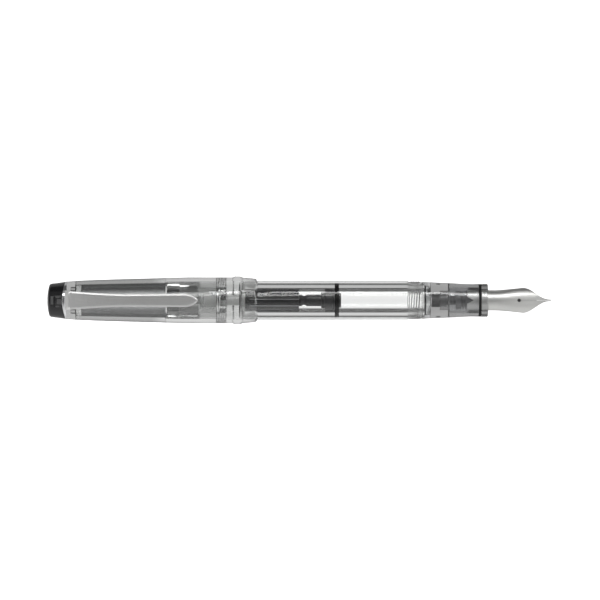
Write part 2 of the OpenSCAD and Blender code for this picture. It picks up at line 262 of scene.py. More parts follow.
def soften(obj, width, segments=2, angle_deg=35):
    """Small rounding along an object's sharp edges."""
    bevel = obj.modifiers.new("soft_edges", "BEVEL")
    bevel.width = width * MM
    bevel.segments = segments
    bevel.limit_method = "ANGLE"
    bevel.angle_limit = math.radians(angle_deg)
    bevel.use_clamp_overlap = True
    return applied(obj)


def join(name, objects):
    """One object from several, keeping the first one's material."""
    material = objects[0].data.materials[0]
    return finish_object(name, merged(name, objects), material)


def smooth_line(points, steps):
    """Catmull-Rom curve through (radius, station) points."""
    p = [np.array(q, float) for q in [points[0], *points, points[-1]]]
    out = []
    for i in range(1, len(p) - 2):
        for k in range(steps):
            t = k / steps
            out.append(0.5 * (2 * p[i] + (p[i + 1] - p[i - 1]) * t
                              + (2 * p[i - 1] - 5 * p[i] + 4 * p[i + 1] - p[i + 2]) * t * t
                              + (3 * p[i] - p[i - 1] - 3 * p[i + 1] + p[i + 2]) * t ** 3))
    out.append(p[-1])
    return out


def thread(start, end, pitch, starts, root, crest, fade):
    """Shape for a helical thread between two stations, on the wall whose radius is about the root's."""
    lead, near = pitch * starts, 0.12

    def shape(r, x, angle):
        if not (start <= x <= end and abs(r - root) < near):
            return r, x
        turn = (x / lead - angle / FULL_TURN) * starts % 1.0
        ridge = ease(1 - abs(2 * turn - 1)) ** 0.9
        run_in = ease((x - start) / fade) * ease((end - x) / fade)
        return root + (crest - root) * ridge * run_in, x
    return shape


def flattened(r, half_flat, across):
    """Radius cut down to a flat. across is the cosine or sine of the angle."""
    return min(r, half_flat / max(1e-6, abs(across)))


# ---- materials


def supply(socket, value):
    """Gives an input a constant or another node's output."""
    if isinstance(value, bpy.types.NodeSocket):
        socket.id_data.links.new(value, socket)
    else:
        socket.default_value = value


def wire(node, **values):
    """Sets a node's attributes and inputs. Underscores stand for the spaces in an input's name."""
    for key, value in values.items():
        name = key.replace("_", " ")
        if name in node.inputs:
            supply(node.inputs[name], value)
        else:
            setattr(node, key, value)
    return node


def add_node(tree, kind, **values):
    return wire(tree.nodes.new("ShaderNode" + kind), **values)


def compute(tree, operation, *values):
    """Output of a Math node."""
    node = add_node(tree, "Math", operation=operation)
    for socket, value in zip(node.inputs, values):
        supply(socket, value)
    return node.outputs["Value"]


def axes(tree, vector):
    """The outputs X, Y and Z of a vector."""
    return add_node(tree, "SeparateXYZ", Vector=vector).outputs


def shader_nodes(name):
    """New node material: its tree and its Principled shader."""
    material = bpy.data.materials.new(name)
    material.use_nodes = True
    tree = material.node_tree
    return material, tree, tree.nodes["Principled BSDF"]


def body_place(tree, scale):
    """Object coordinates scaled to detail size, with a separate scale for each axis."""
    place = add_node(tree, "TexCoord").outputs["Object"]
    return add_node(tree, "Mapping", Vector=place, Scale=scale).outputs["Vector"]


def noise(tree, vector, scale, detail=4.0, roughness=0.55):
    node = add_node(tree, "TexNoise", Vector=vector, Scale=scale, Detail=detail, Roughness=roughness)
    return node.outputs["Fac"]


def ranged(tree, value, low, high, from_low=0.35, from_high=0.65):
    node = add_node(tree, "MapRange", Value=value, From_Min=from_low, From_Max=from_high, To_Min=low,
                    To_Max=high)
    return node.outputs["Result"]


def colours(tree, share, first, second):
    """Mix of two colours, all of the second where the share is 1."""
    return add_node(tree, "Mix", data_type="RGBA", Factor=share, A=first, B=second).outputs["Result"]


def bump(tree, height, distance_mm, strength):
    node = add_node(tree, "Bump", Strength=strength, Distance=distance_mm * MM, Height=height)
    return node.outputs["Normal"]


def clear_material(name, tint, rough_low, rough_high, ripple_mm, smoke_per_mm=0.0):
    """Polished clear resin: faint moulding ripple, handling haze and, where tinted, a smoky depth."""
    material, tree, principled = shader_nodes(name)
    place = body_place(tree, (1.0, 1.0, 1.0))
    haze = noise(tree, place, 900.0)
    cloud = noise(tree, place, 60.0, 1.0)
    ripple = noise(tree, place, 420.0, 2.0)
    dim = (*[c * 0.985 for c in tint], 1)
    wire(principled, Transmission_Weight=1.0, IOR=1.49, Roughness=ranged(tree, haze, rough_low, rough_high),
         Base_Color=colours(tree, cloud, dim, (*tint, 1)), Normal=bump(tree, ripple, ripple_mm, 0.25))
    if smoke_per_mm:
        smoke = add_node(tree, "VolumeAbsorption", Density=smoke_per_mm / MM, Color=(0.02, 0.01, 0.0, 1))
        wire(tree.nodes["Material Output"], Volume=smoke.outputs["Volume"])
    return material


def solid_material(name, low, high, rough, grain_scale, grain_mm, metallic=0.0, stretch_x=1.0,
                   specular=0.5, pale_tail=None):
    """Opaque finish whose colour, roughness and surface vary with a grain stretched along X.

    pale_tail is a rear station, a front station and the colour that the finish has behind them.
    """
    material, tree, principled = shader_nodes(name)
    fine = body_place(tree, (stretch_x, 1.0, 1.0))
    broad = body_place(tree, (1.0, 1.0, 1.0))
    grain = noise(tree, fine, grain_scale, 5.0, 0.6)
    cloud = noise(tree, broad, 160.0, 3.0)
    share = compute(tree, "MULTIPLY_ADD", grain, 0.6, ranged(tree, cloud, 0.0, 0.4))
    colour = colours(tree, share, (*low, 1), (*high, 1))
    if pale_tail:
        rear, front, pale = pale_tail
        along = ranged(tree, axes(tree, broad)["X"], 0.0, 1.0, rear * MM, front * MM)
        colour = colours(tree, along, (*pale, 1), colour)
    wire(principled, Metallic=metallic, Specular_IOR_Level=specular, Base_Color=colour,
         Roughness=ranged(tree, grain, *rough), Normal=bump(tree, grain, grain_mm, 0.5))
    return material


CLEAR = clear_material("clear_resin", (0.985, 0.99, 0.985), 0.0, 0.03, 0.002)
SMOKY = (0.94, 0.945, 0.95)
SMOKE = clear_material("smoke_resin", SMOKY, 0.0, 0.05, 0.002, smoke_per_mm=0.075)
INNER = clear_material("inner_cap_resin", SMOKY, 0.08, 0.14, 0.003, smoke_per_mm=0.06)
CROWN_GREYS = (0.006, 0.006, 0.007), (0.012, 0.012, 0.013)
CROWN = solid_material("crown_resin", *CROWN_GREYS, (0.05, 0.14), 1400, 0.002)
BLACK = (0.006, 0.006, 0.007), (0.013, 0.013, 0.014)
PLASTIC = solid_material("black_plastic", *BLACK, (0.28, 0.42), 2600, 0.004)
SLEEVE = solid_material("sleeve_plastic", *BLACK, (0.17, 0.25), 2600, 0.002)
ROD = solid_material("rod_plastic", *BLACK, (0.28, 0.42), 2600, 0.004,
                     pale_tail=(-49.1, -48.7, (0.4,) * 3))
# Grey for thin strips along the sleeve's keyway: painted highlight lines where the keyway's edges catch the
# light.
PAINTED_HIGHLIGHT_GREY = solid_material("painted_highlight_plastic", (0.26, 0.26, 0.265), (0.34, 0.34, 0.345), (0.28, 0.4), 2600, 0.002)
FEED = solid_material("feed_plastic", (0.10, 0.10, 0.101), (0.16, 0.16, 0.161), (0.3, 0.45), 2600, 0.004)
RUBBER = solid_material("black_rubber", (0.004,) * 3, (0.009,) * 3, (0.45, 0.65),
                        3000, 0.008, specular=0.2)
SEAL = solid_material("seal_plastic", (0.003,) * 3, (0.006,) * 3, (0.3, 0.45),
                      2000, 0.003, specular=0.1)
NIB = solid_material("nib_steel", (0.61, 0.61, 0.595), (0.71, 0.71, 0.69), (0.34, 0.42),
                     9000, 0.0015, metallic=1.0, stretch_x=0.2)
CLIP = solid_material("clip_steel", (0.86, 0.86, 0.85), (0.92, 0.92, 0.91), (0.27, 0.33),
                      12000, 0.0006, metallic=1.0, stretch_x=0.3)
CHROME = solid_material("chrome", (0.74, 0.74, 0.75), (0.82, 0.82, 0.83), (0.05, 0.12),
                        2500, 0.001, metallic=1.0)
SCREW = solid_material("screw_steel", (0.52, 0.52, 0.53), (0.66, 0.66, 0.67), (0.2, 0.35),
                       3800, 0.003, metallic=1.0)


def place(obj, body, slot, *nodes):
    """Ties a finished piece to its body and hides the CAD nodes it stands for; pieces of the clear slots cast
    no shadow.
    """
    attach(obj, body)
    if nodes:
        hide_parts(*nodes)
    if slot in ("clear_resin", "smoke_resin"):
        obj.visible_shadow = False


def dress(node, material):
    """Gives a CAD node that stays a better finish."""
    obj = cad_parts[node]
    obj.data.materials.clear()
    obj.data.materials.append(material)
    smooth(obj.data, 30)


# ---- barrel

barrel_rear, barrel_front, barrel_r = span("barrel")
bore_r = span("guide_sleeve")[2] + 0.05
shoulder = span("section")[0]
nipple_r = 4.5
groove_rear, groove_front = 4.8, 5.3
tail_r = barrel_r - 0.18
lip = span("cap_shell")[1]


def build_barrel():
    root, thread_end, relief, flange, flange_x = 5.5, 3.88, 5.45, 5.67, 4.3
    nipple_root, groove_r = nipple_r - 0.06, 4.02
    outline = rounded([
        (bore_r, barrel_rear, 0.12), (tail_r, barrel_rear, 1.1), (tail_r, lip + 0.02),
        (barrel_r, lip + 0.2, 0.05), (barrel_r, 0.0, 0.12), (root, 0.12, 0.05), (root, thread_end, 0.02),
        (relief, thread_end + 0.04, 0.02), (relief, flange_x - 0.1, 0.05), (flange, flange_x, 0.08),
        (flange, shoulder, 0.06), (nipple_r, shoulder), (nipple_r, groove_rear, 0.03),
        (groove_r, groove_rear), (groove_r, groove_front), (nipple_root, groove_front, 0.03),
        (nipple_root, barrel_front, 0.2), (bore_r, barrel_front, 0.15)
    ], 0.04)
    outline = stretch(outline, 0.2, thread_end, 0.07)
    cap_thread = thread(0.15, thread_end - 0.05, 0.76, 3, root, barrel_r - 0.03, 0.25)
    nipple_thread = thread(groove_front + 0.3, barrel_front - 0.1, 0.4, 1, nipple_root, nipple_r + 0.04, 0.1)

    def shape(r, x, angle):
        return nipple_thread(r, x, angle) if x > groove_rear else cap_thread(r, x, angle)
    place(lathe("barrel_shell", outline, CLEAR, shape=shape, around=192), "barrel", "clear_resin", "barrel")


# ---- grip section

section_front = span("section")[1]
collar_rear, nose_front, lip_r = span("nib_collar")
grip_r = lip_r - 0.1
tail_bore = 1.35
step_bore, step_x = 1.95, 9.4
collar_r = 3.9
nose_bore = 3.25


def build_section():
    socket, pocket = nipple_r + 0.1, collar_r + 0.04
    floor_x, pocket_x = barrel_front + 0.1, 11.9
    vent_low, vent_high = (8.4, 3.75, -0.7), (9.6, 3.95, 0.7)
    grip = smooth_line([(5.51, 5.2), (5.46, 6.8), (5.32, 10), (5.15, 13.4), (4.98, 16.4), (4.88, 18.8),
                        (grip_r, 20.6)], 6)
    outline = rounded([
        (socket, shoulder, 0.05), (5.52, shoulder, 0.08), *[(r, x, 0) for r, x in grip],
        (grip_r, section_front), (pocket, section_front, 0.05), (pocket, pocket_x, 0.5),
        (step_bore, pocket_x), (step_bore, step_x), (tail_bore, step_x), (tail_bore, floor_x),
        (socket, floor_x, 0.12)
    ], 0.1)
    obj = lathe("grip_section", outline, SMOKE)
    vents = [block(vent_low, vent_high, turn) for turn in (0, math.pi)]
    place(cut(obj, vents), "barrel", "smoke_resin", "section")


def build_nib_collar():
    seat = section_front + 0.8
    outline = rounded([
        (nose_bore, collar_rear), (collar_r, collar_rear, 0.15), (collar_r, section_front + 0.15),
        (collar_r, seat, 0.05), (lip_r - 0.02, seat), (lip_r, nose_front - 0.9), (lip_r, nose_front, 0.75),
        (nose_bore + 0.25, nose_front), (nose_bore, nose_front - 0.25)
    ], 0.1, steps=5)
    place(lathe("nib_collar_front", outline, SMOKE), "barrel", "smoke_resin", "nib_collar")


def build_o_ring(name, node, at, radius, cord):
    """Moulded O-ring with its parting line."""
    points = 20
    ring = []
    for i in range(points):
        a = FULL_TURN * i / points
        r = cord * 1.03 if i in (0, points // 2) else cord
        ring.append((radius + r * math.cos(a), at + r * math.sin(a)))
    place(lathe(name, ring, RUBBER), "barrel", "black_rubber", node)


def build_front_seal():
    rear, front, inside = section_front + 0.01, section_front + 0.79, collar_r + 0.1
    outline = rounded([
        (inside, rear), (grip_r, rear, 0.08), (grip_r, front, 0.08), (inside, front)
    ], 0.1, steps=5)
    place(lathe("front_o_ring", outline, RUBBER), "barrel", "black_rubber", "front_seal")


# ---- nib and feed

nib_tail, nib_tip, nib_half = span("nib")
nib_shoulder, nib_neck = 34.5, 26.0
nib_base_rho, nib_base_w, nib_tip_w = 3.2, 3.05, 0.28
nib_t = 0.35


def nib_w(x):
    """Half width of the nib."""
    if x < nib_neck:
        return nib_base_w
    if x < nib_shoulder:
        return nib_base_w + (nib_half - nib_base_w) * ((x - nib_neck) / (nib_shoulder - nib_neck)) ** 1.3
    u = max(0.0, (nib_tip - x) / (nib_tip - nib_shoulder))
    return nib_tip_w + (nib_half - nib_tip_w) * math.sin(math.pi / 2 * u ** 1.15) ** 2


def nib_rho(x):
    """Radius of the nib's curve across, which opens in front of the neck."""
    open_rho, opening = 4.7, 9
    return nib_base_rho + (open_rho - nib_base_rho) * ease((x - nib_neck) / opening)


def nib_top(x):
    """Height of the nib's top line."""
    drop = 2.35
    return nib_base_rho - drop * (max(0.0, x - nib_neck) / (nib_tip - nib_neck)) ** 1.6


def nib_point(x, across, inset):
    """Point on the nib at a distance across, measured along its curve, inset below its top face."""
    rho = nib_rho(x)
    turn = across / rho
    return x, (rho - inset) * math.sin(turn), nib_top(x) - rho + (rho - inset) * math.cos(turn)


def nib_reach(x):
    """The nib's half width measured along its curve."""
    rho = nib_rho(x)
    return rho * math.asin(min(0.97, nib_w(x) / rho))


def nib_plan():
    """Outline of the nib laid flat, with its notched tail and the slit that ends in the breather hole."""
    hole_x, hole_r, slit = 33.2, 0.52, 0.025
    notch_depth, notch_half = 2.0, 1.0
    stations = [nib_tail + (nib_tip - nib_tail) * (1 - (1 - i / 56) ** 1.25) for i in range(57)]
    upper = [(x, nib_reach(x)) for x in stations]
    lower = [(x, -w) for x, w in reversed(upper)]
    mouth = math.asin(slit / hole_r)
    hole = [(hole_x + hole_r * math.cos(a), hole_r * math.sin(a))
            for a in np.linspace(mouth, FULL_TURN - mouth, 28)]
    cuts = [nib_tip - 0.02 - (nib_tip - hole_x - hole_r) * i / 24 for i in range(25)]
    slit_top = [(x, slit) for x in cuts]
    slit_low = [(x, -slit) for x in reversed(cuts)]
    tail = [(nib_tail + notch_depth * (1 - abs(t)), notch_half * t) for t in np.linspace(-1, 1, 15)]
    return [*reversed(upper + slit_top + hole + slit_low + lower + tail)]


def build_nib():
    edge = nib_plan()
    rows, columns = 90, 15
    stations = [nib_tail + (nib_tip - nib_tail) * i / rows for i in range(rows + 1)]
    inner = [(x, nib_reach(x) * (2 * (j + 0.5) / columns - 1) * 0.96) for x in stations
             for j in range(columns)]
    points = [Vector(p) for p in edge + inner]
    flat = geometry.delaunay_2d_cdt(points, [], [list(range(len(edge)))], 1, 1e-5)
    corners, triangles = flat[0], [f for f in flat[2] if len(f) == 3]
    count = len(corners)
    sides = {side: None for f in triangles for side in zip(f, [*f[1:], f[0]])}
    border = [(a, b) for a, b in sides if (b, a) not in sides]
    verts = [nib_point(p.x, p.y, inset) for inset in (0.0, nib_t) for p in corners]
    faces = [list(f) for f in triangles] + [[v + count for v in reversed(f)] for f in triangles]
    faces += [[a, a + count, b + count, b] for a, b in border]
    obj = make_object("nib_blade", verts, faces, NIB)
    soften(obj, 0.05, 2, 50)
    place(obj, "barrel", "nib_steel", "nib")


def build_tipping():
    """Two ground halves of the hard pellet under the tip, with the slit between them."""
    low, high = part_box("tipping")
    centre = (low + high) / 2 / MM
    half_slit, half_wide, radius, raised = 0.03, 0.26, 0.3, 0.1
    halves = []
    for side in (-1, 1):
        bm = bmesh.new()
        bmesh.ops.create_uvsphere(bm, u_segments=32, v_segments=20, radius=1)
        for v in bm.verts:
            y = side * max(half_slit, side * v.co.y * half_wide)
            v.co = (centre + Vector((v.co.x * radius, y, raised + v.co.z * radius))) * MM
        bmesh.ops.remove_doubles(bm, verts=bm.verts, dist=WELD)
        halves.append(finish_object("pellet", mesh_of(bm, "pellet"), NIB))
    place(join("tipping_pellet", halves), "barrel", "nib_steel", "tipping")


def build_feed():
    """Feed: tail tube, ringed block and the finned nose under the nib."""
    rear, front, _ = span("feed")
    block_r, half_w, gap, groove_r, half_groove = 2.75, 1.7, 0.12, 2.0, 0.17
    tube, step = tail_bore + 0.01, step_bore - 0.1
    step_end, block_rear, block_front, nose_x = 11.5, 14.1, 25, 24.6

    def top(x):
        rho = nib_rho(x) - nib_t
        return nib_top(x) - nib_rho(x) + math.sqrt(rho * rho - half_w * half_w) - gap

    def belly(x):
        return -block_r + (top(front) - 0.35 + block_r) * (max(0, x - nose_x) / (front - nose_x)) ** 1.8
    grooves = [(r, x + side * half_groove, fillet) for x in (16.0, 16.8) for r, side, fillet in (
        (block_r, -1, 0.06), (groove_r, -1, 0.1), (groove_r, 1, 0.1), (block_r, 1, 0.06))]
    outline = rounded([
        (0, rear), (tube, rear), (tube, step_x + 0.1, 0.05), (step, step_x + 0.1), (step, step_end),
        (tail_bore, step_end), (tail_bore, block_rear, 0.15), (block_r, block_rear, 0.25), *grooves,
        (block_r, block_front, 0.3), (0, block_front)
    ], 0.1)
    core = lathe("core", outline, FEED, around=96)
    rings = []
    for i in range(61):
        x = nose_x - 0.5 + (front - 0.02 - nose_x + 0.5) * i / 60
        high, low = top(max(x, nose_x)), belly(x)
        width = half_w * (1 - 0.25 * ease((x - 35) / 4))
        rings.append([(x, width * math.cos(a), high - (high - low) * math.sin(a) ** 0.75)
                      for a in (math.pi * j / 24 for j in range(25))])
    nose = loft("nose", rings, FEED)
    slots = []
    for i in range(15):
        x = 26 + 0.75 * i
        slots.append(block((x, -3, -4), (x + 0.28, 3, top(x) - 0.75 + 0.01 * i)))
    place(join("feed_body", [core, cut(nose, slots)]), "barrel", "black_plastic", "feed")


# ---- piston mechanism

sleeve_rear, sleeve_front, sleeve_r = span("guide_sleeve")
neck_rear = span("mechanism_collar")[0]
window_x, window_length, window_width = -56.25, 1.65, 1.5
window_turns = [FULL_TURN * i / 6 + math.radians(12.3) for i in range(6)]
liner_r, passage_r, neck_r = 2.95, 2.4, 4.0
neck_pitch, neck_end = 0.72, -57.7


def build_sleeve():
    slot_turn, slot_half, slot_depth = math.radians(-11.75), 0.84, 0.11
    bead_off, bead_h, bead_w, wall_w = 0.08, 0.075, 0.15, 0.12
    bore, bore_flat, keyway_rear = 2.3, 2.0, sleeve_rear + 1.4

    def shape(r, x, angle):
        if r > 3 and x > keyway_rear:
            off = abs((angle - slot_turn + math.pi) % FULL_TURN - math.pi) * sleeve_r - slot_half
            bead = max(0.0, 1 - abs(off - bead_off) / bead_w)
            r -= bead_h * (1 - bead) + slot_depth * min(1.0, max(0.0, -off / wall_w))
        if r < 2.5:
            r = flattened(r, bore_flat, math.sin(angle))
        return r, x
    outline = rounded([
        (bore, sleeve_rear), (sleeve_r, sleeve_rear, 0.15), (sleeve_r, keyway_rear - 0.1, 0),
        (sleeve_r, keyway_rear + 0.1, 0), (sleeve_r, sleeve_front, 0.12), (bore, sleeve_front)
    ], 0.1)
    obj = lathe("piston_guide_sleeve", outline, SLEEVE, shape=shape, around=480)
    smooth(obj.data, 12)
    place(obj, "barrel", "black_plastic", "guide_sleeve")
    # Thin grey strips on the keyway's edges: painted highlight lines.
    edges = [block((keyway_rear - 0.1, -0.06, sleeve_r - 0.1), (sleeve_front - 0.1, 0.06, sleeve_r + 0.03),
                   math.radians(degrees), PAINTED_HIGHLIGHT_GREY) for degrees in (5.0, -24.9)]
    place(join("keyway_painted_highlights", edges), "barrel", "black_plastic")


def build_mechanism_collar():
    flats_x, flange_x, hex_r, hex_flat = -54.5, -50.6, 4.75, 4.25
    flange_r, spigot, spigot_end = 5.1, bore_r - 0.03, sleeve_rear - 0.1
    groove_r, ring_rear, ring_front = 3.68, -57.5, -56.5
    root = neck_r - 0.3
    ridge = thread(neck_rear + 0.15, neck_end, neck_pitch, 1, root, neck_r, 0.2)

    def shape(r, x, angle):
        if flats_x - 0.1 < x < flange_x + 0.1 and neck_r < r < hex_r + 0.1:
            r = flattened(r, hex_flat, math.cos(angle))
        return ridge(r, x, angle)
    outline = rounded([
        (liner_r, neck_rear), (root, neck_rear, 0.12), (root, ring_rear - 0.1, 0.04),
        (groove_r, ring_rear, 0.03), (groove_r, ring_front, 0.05), (neck_r, ring_front, 0.05),
        (neck_r, flats_x, 0.05), (hex_r, flats_x), (hex_r, flange_x, 0.05), (flange_r, flange_x),
        (flange_r, barrel_rear, 0.12), (spigot, barrel_rear, 0.06), (spigot, spigot_end),
        (passage_r, spigot_end), (passage_r, flats_x, 0.08), (liner_r, flats_x, 0.08)
    ], 0.1)
    outline = stretch(outline, neck_rear + 0.2, neck_end, 0.07)
    obj = lathe("mechanism_collar_shell", outline, CLEAR, shape=shape)
    low = (window_x, -window_width / 2, liner_r - 0.3)
    high = (window_x + window_length, window_width / 2, neck_r + 0.5)
    windows = [block(low, high, turn) for turn in window_turns]
    place(cut(obj, windows), "barrel", "clear_resin", "mechanism_collar")


def build_lock_ring():
    play = 0.05
    rear, front, outside = window_x - 0.6, window_x + 0.15, liner_r - 0.05
    outline = rounded([(passage_r, rear), (outside, rear), (outside, front), (passage_r, front)], 0.1)
    low = (window_x + play, -window_width / 2 + play, passage_r + 0.2)
    high = (window_x + window_length - play, window_width / 2 - play, neck_r - 0.03)
    lugs = [soften(block(low, high, turn, PLASTIC), 0.12, 3) for turn in window_turns]
    ring = lathe("ring", outline, PLASTIC, around=96)
    place(join("lock_ring_lugs", [ring, *lugs]), "barrel", "black_plastic", "lock_ring")


# ---- knob and piston

knob_end, knob_front, knob_r = span("knob")
plug_rear, _, plug_r = span("knob_plug")
plug_face = -68.4
spindle_lead = 6.0


def build_knob():
    skirt, cavity, groove_r = neck_r + 0.1, 3.0, 4.45
    ramp, ring_rear, ring_front = neck_rear - 0.3, -57.45, -56.55
    outline = rounded([
        (plug_r + 0.02, knob_end), (knob_r, knob_end, 0.65), (knob_r, knob_front, 0.12),
        (skirt, knob_front), (skirt, ring_front, 0.03), (groove_r, ring_front, 0.06),
        (groove_r, ring_rear, 0.06), (skirt, ring_rear, 0.03), (skirt, ramp), (cavity, ramp, 0.15),
        (cavity, plug_face), (plug_r + 0.02, plug_face, 0.06)
    ], 0.1, steps=5)
    outline = stretch(outline, ramp + 0.2, neck_end, 0.09)
    groove = thread(ramp + 0.2, neck_end - 0.1, neck_pitch, 1, skirt, skirt + 0.26, 0.3)
    place(lathe("piston_knob", outline, CLEAR, shape=groove), "knob", "clear_resin", "knob")


def build_knob_plug():
    dimple_r, dimple = 0.6, 0.1
    outline = rounded([
        (0, plug_rear + dimple), (dimple_r, plug_rear + dimple), (dimple_r + 0.2, plug_rear),
        (plug_r, plug_rear, 0.25), (plug_r, plug_face, 0.12), (0, plug_face)
    ], 0.1)
    place(lathe("knob_end_plug", outline, PLASTIC), "knob", "black_plastic", "knob_plug")


def thread_radius(x, angle, grow):
    """Radius of the two-start spindle thread at a station, or of its nut where it grows by the play."""
    middle_r, depth = 1.35, 0.18
    turn = angle + FULL_TURN * x / spindle_lead
    return middle_r - depth + grow + depth * math.cos(2 * turn)


def build_spindle():
    start, end = plug_face - 0.05, span("spindle")[1]
    steps = int((end - start) / 0.16)
    outline = [(0, start)] + [(1.0, start + (end - start) * i / steps) for i in range(steps + 1)] + [(0, end)]

    def shape(r, x, angle):
        return thread_radius(x, angle, 0) * (1 - 0.35 * ease((x - end + 0.6) / 0.6)), x
    screw = lathe("screw", outline, SMOKE, around=64, shape=shape)
    shank_r, shank_rear, shank_front = 1.45, plug_face - 0.4, plug_face + 0.15
    shank_outline = rounded([
        (0, shank_rear), (shank_r, shank_rear), (shank_r, shank_front), (0, shank_front)
    ], 0.1)
    shank = lathe("shank", shank_outline, SMOKE, around=64)
    place(join("piston_spindle", [screw, shank]), "knob", "smoke_resin", "spindle")


def build_piston_rod():
    nut_x, rod_front, _ = span("piston_rod")
    step, scoop_x, scoop_half, scoop_depth = -32.8, -31.2, 0.8, 0.4
    rod_r, tube_r, flat, hollow, nut_r, collar_x, head_x = 1.74, 2.2, 1.9, 1.5, 1.2, -26.1, -25.0
    disc_r, stud_r, screw_r = 2.4, 1.22, 0.6
    nut_end = nut_x + 3
    scoop = [(rod_r - scoop_depth * (1 - t ** 2), scoop_x + t * scoop_half, 0)
             for t in np.linspace(-1, 1, 17)]
    outline = rounded([
        (nut_r, nut_x, 0.15), (tube_r, nut_x, 0.15), (tube_r, step, 0.15), (rod_r, step), *scoop,
        (rod_r, collar_x), (disc_r, collar_x + 0.1, 0.12), (disc_r, head_x, 0.05), (stud_r, head_x, 0.05),
        (stud_r, rod_front), (screw_r, rod_front), (screw_r, head_x + 0.6), (0, head_x + 0.4, 0),
        (0, step - 0.4, 0), (hollow, step - 0.2, 0.2), (hollow, nut_end), (nut_r, nut_end)
    ], 0.1)
    outline = stretch(outline, nut_x + 0.1, nut_end - 0.1, 0.15)

    def shape(r, x, angle):
        if x < step + 0.01 and r > rod_r:
            r = flattened(r, flat, math.sin(angle))
        if x < nut_end + 0.05 and r < nut_r + 0.1:
            r = thread_radius(x, angle, 0.12)
        return r, x
    obj = lathe("piston_rod_body", outline, ROD, around=96, shape=shape)
    place(obj, "piston", "black_plastic", "piston_rod")


piston_bore, piston_neck = 1.25, 3.15
seal_rear, seal_front, _ = span("piston_seal")


def build_piston_head():
    rear, front, head_r = span("piston_head")
    outline = rounded([
        (piston_bore, rear, 0.05), (head_r, rear, 0.22), (head_r, front - 0.7, 0.08),
        (piston_neck, front - 0.6), (piston_neck, front - 0.3), (head_r, front - 0.2), (head_r, front),
        (piston_bore, front, 0.05)
    ], 0.06)
    place(lathe("piston_head_body", outline, PLASTIC), "piston", "black_plastic", "piston_head")


def build_piston_seal():
    rim = bore_r + 0.006
    outline = rounded([
        (piston_bore, seal_rear), (piston_neck, seal_rear), (rim, seal_rear + 0.02, 0.03),
        (rim, seal_front - 0.02, 0.03), (piston_neck, seal_front), (piston_bore, seal_front)
    ], 0.05)
    place(lathe("piston_seal_ring", outline, SEAL), "piston", "seal_plastic", "piston_seal")


def build_seal_screw():
    rear, front, disc_r = span("seal_screw")
    shank_r, recess_r, recess = 0.57, 0.8, 0.12
    outline = rounded([
        (0, rear), (shank_r, rear), (shank_r, seal_front, 0.03), (disc_r, seal_front, 0.05),
        (disc_r, front, 0.25), (recess_r + 0.1, front), (recess_r, front - recess), (0, front - recess)
    ], 0.1)
    place(lathe("seal_screw_disc", outline, PLASTIC), "piston", "black_plastic", "seal_screw")


# ---- cap

cap_rear, cap_front, band_r = span("cap_shell")
cap_max = 6.9
straight_x = -66.0
inner_rear, inner_front, _ = span("inner_cap")
crown_end, crown_seat, _ = span("crown")


def cap_r(x):
    """Outer radius of the cap."""
    back = max(0.0, straight_x - x)
    return cap_max - 0.0268 * back - 0.27 * (back / 36) ** 8


def cap_bore(x):
    """Radius of the cap's bore round the inner cap."""
    rear_r, widening, length = 4.74, 0.44, 27
    return rear_r + widening * (x + 99.6) / length


def build_cap_shell():
    taper = [(cap_r(x), x, 0) for x in np.linspace(cap_rear + 0.25, straight_x, 60)]
    thread_rear, thread_front, mouth_r, bore_end = -57.3, -54.4, 5.95, -99.6
    knob_space, head_r, head_x, hole_r = knob_r + 0.5, 2.7, -101, 1.6
    band_rear, band_front = -52.1, -50.15
    outline = rounded([
        (hole_r, cap_rear), (cap_r(cap_rear), cap_rear, 0.18), *taper, (cap_max, -60, 0),
        (cap_max, band_rear - 0.4, 0.15), (band_r, band_rear, 0.18), (band_r, band_front, 0.18),
        (cap_max, band_front + 0.35, 0.15), (6.65, -47.2, 0.6), (6.5, cap_front - 0.4, 0.25),
        (6.12, cap_front, 0.12), (mouth_r, cap_front, 0.08), (mouth_r, thread_front, 0.15),
        (mouth_r, thread_rear), (knob_space, thread_rear - 0.1), (knob_space, inner_front, 0.06),
        (cap_bore(inner_front), inner_front, 0.04), (cap_bore(bore_end), bore_end, 0.25),
        (head_r, bore_end), (head_r, head_x), (hole_r, head_x)
    ], 0.1)
    outline = stretch(outline, thread_rear, thread_front, 0.09)
    cap_thread = thread(thread_rear + 0.05, thread_front - 0.05, 0.72, 3, mouth_r - 0.02, mouth_r - 0.16, 0.3)
    place(lathe("cap_body", outline, CLEAR, shape=cap_thread, around=192), "cap", "clear_resin", "cap_shell")


def build_inner_cap():
    cavity_end, wall, skin = -97.8, 0.5, 0.05
    front_r = cap_bore(inner_front)
    outline = rounded([
        (0, inner_rear), (cap_bore(inner_rear) - skin, inner_rear, 0.3), (front_r - skin, inner_front),
        (front_r - wall, inner_front), (cap_bore(cavity_end) - wall, cavity_end, 0.4), (0, cavity_end)
    ], 0.12, steps=5)
    place(lathe("inner_cap_liner", outline, INNER), "cap", "smoke_resin", "inner_cap")


def seam_rise(angle):
    """How far the seam between the crown and the clip ring moves along X, most of all under the clip."""
    return 0.05 - 0.75 * max(0.0, math.cos(angle)) ** 3


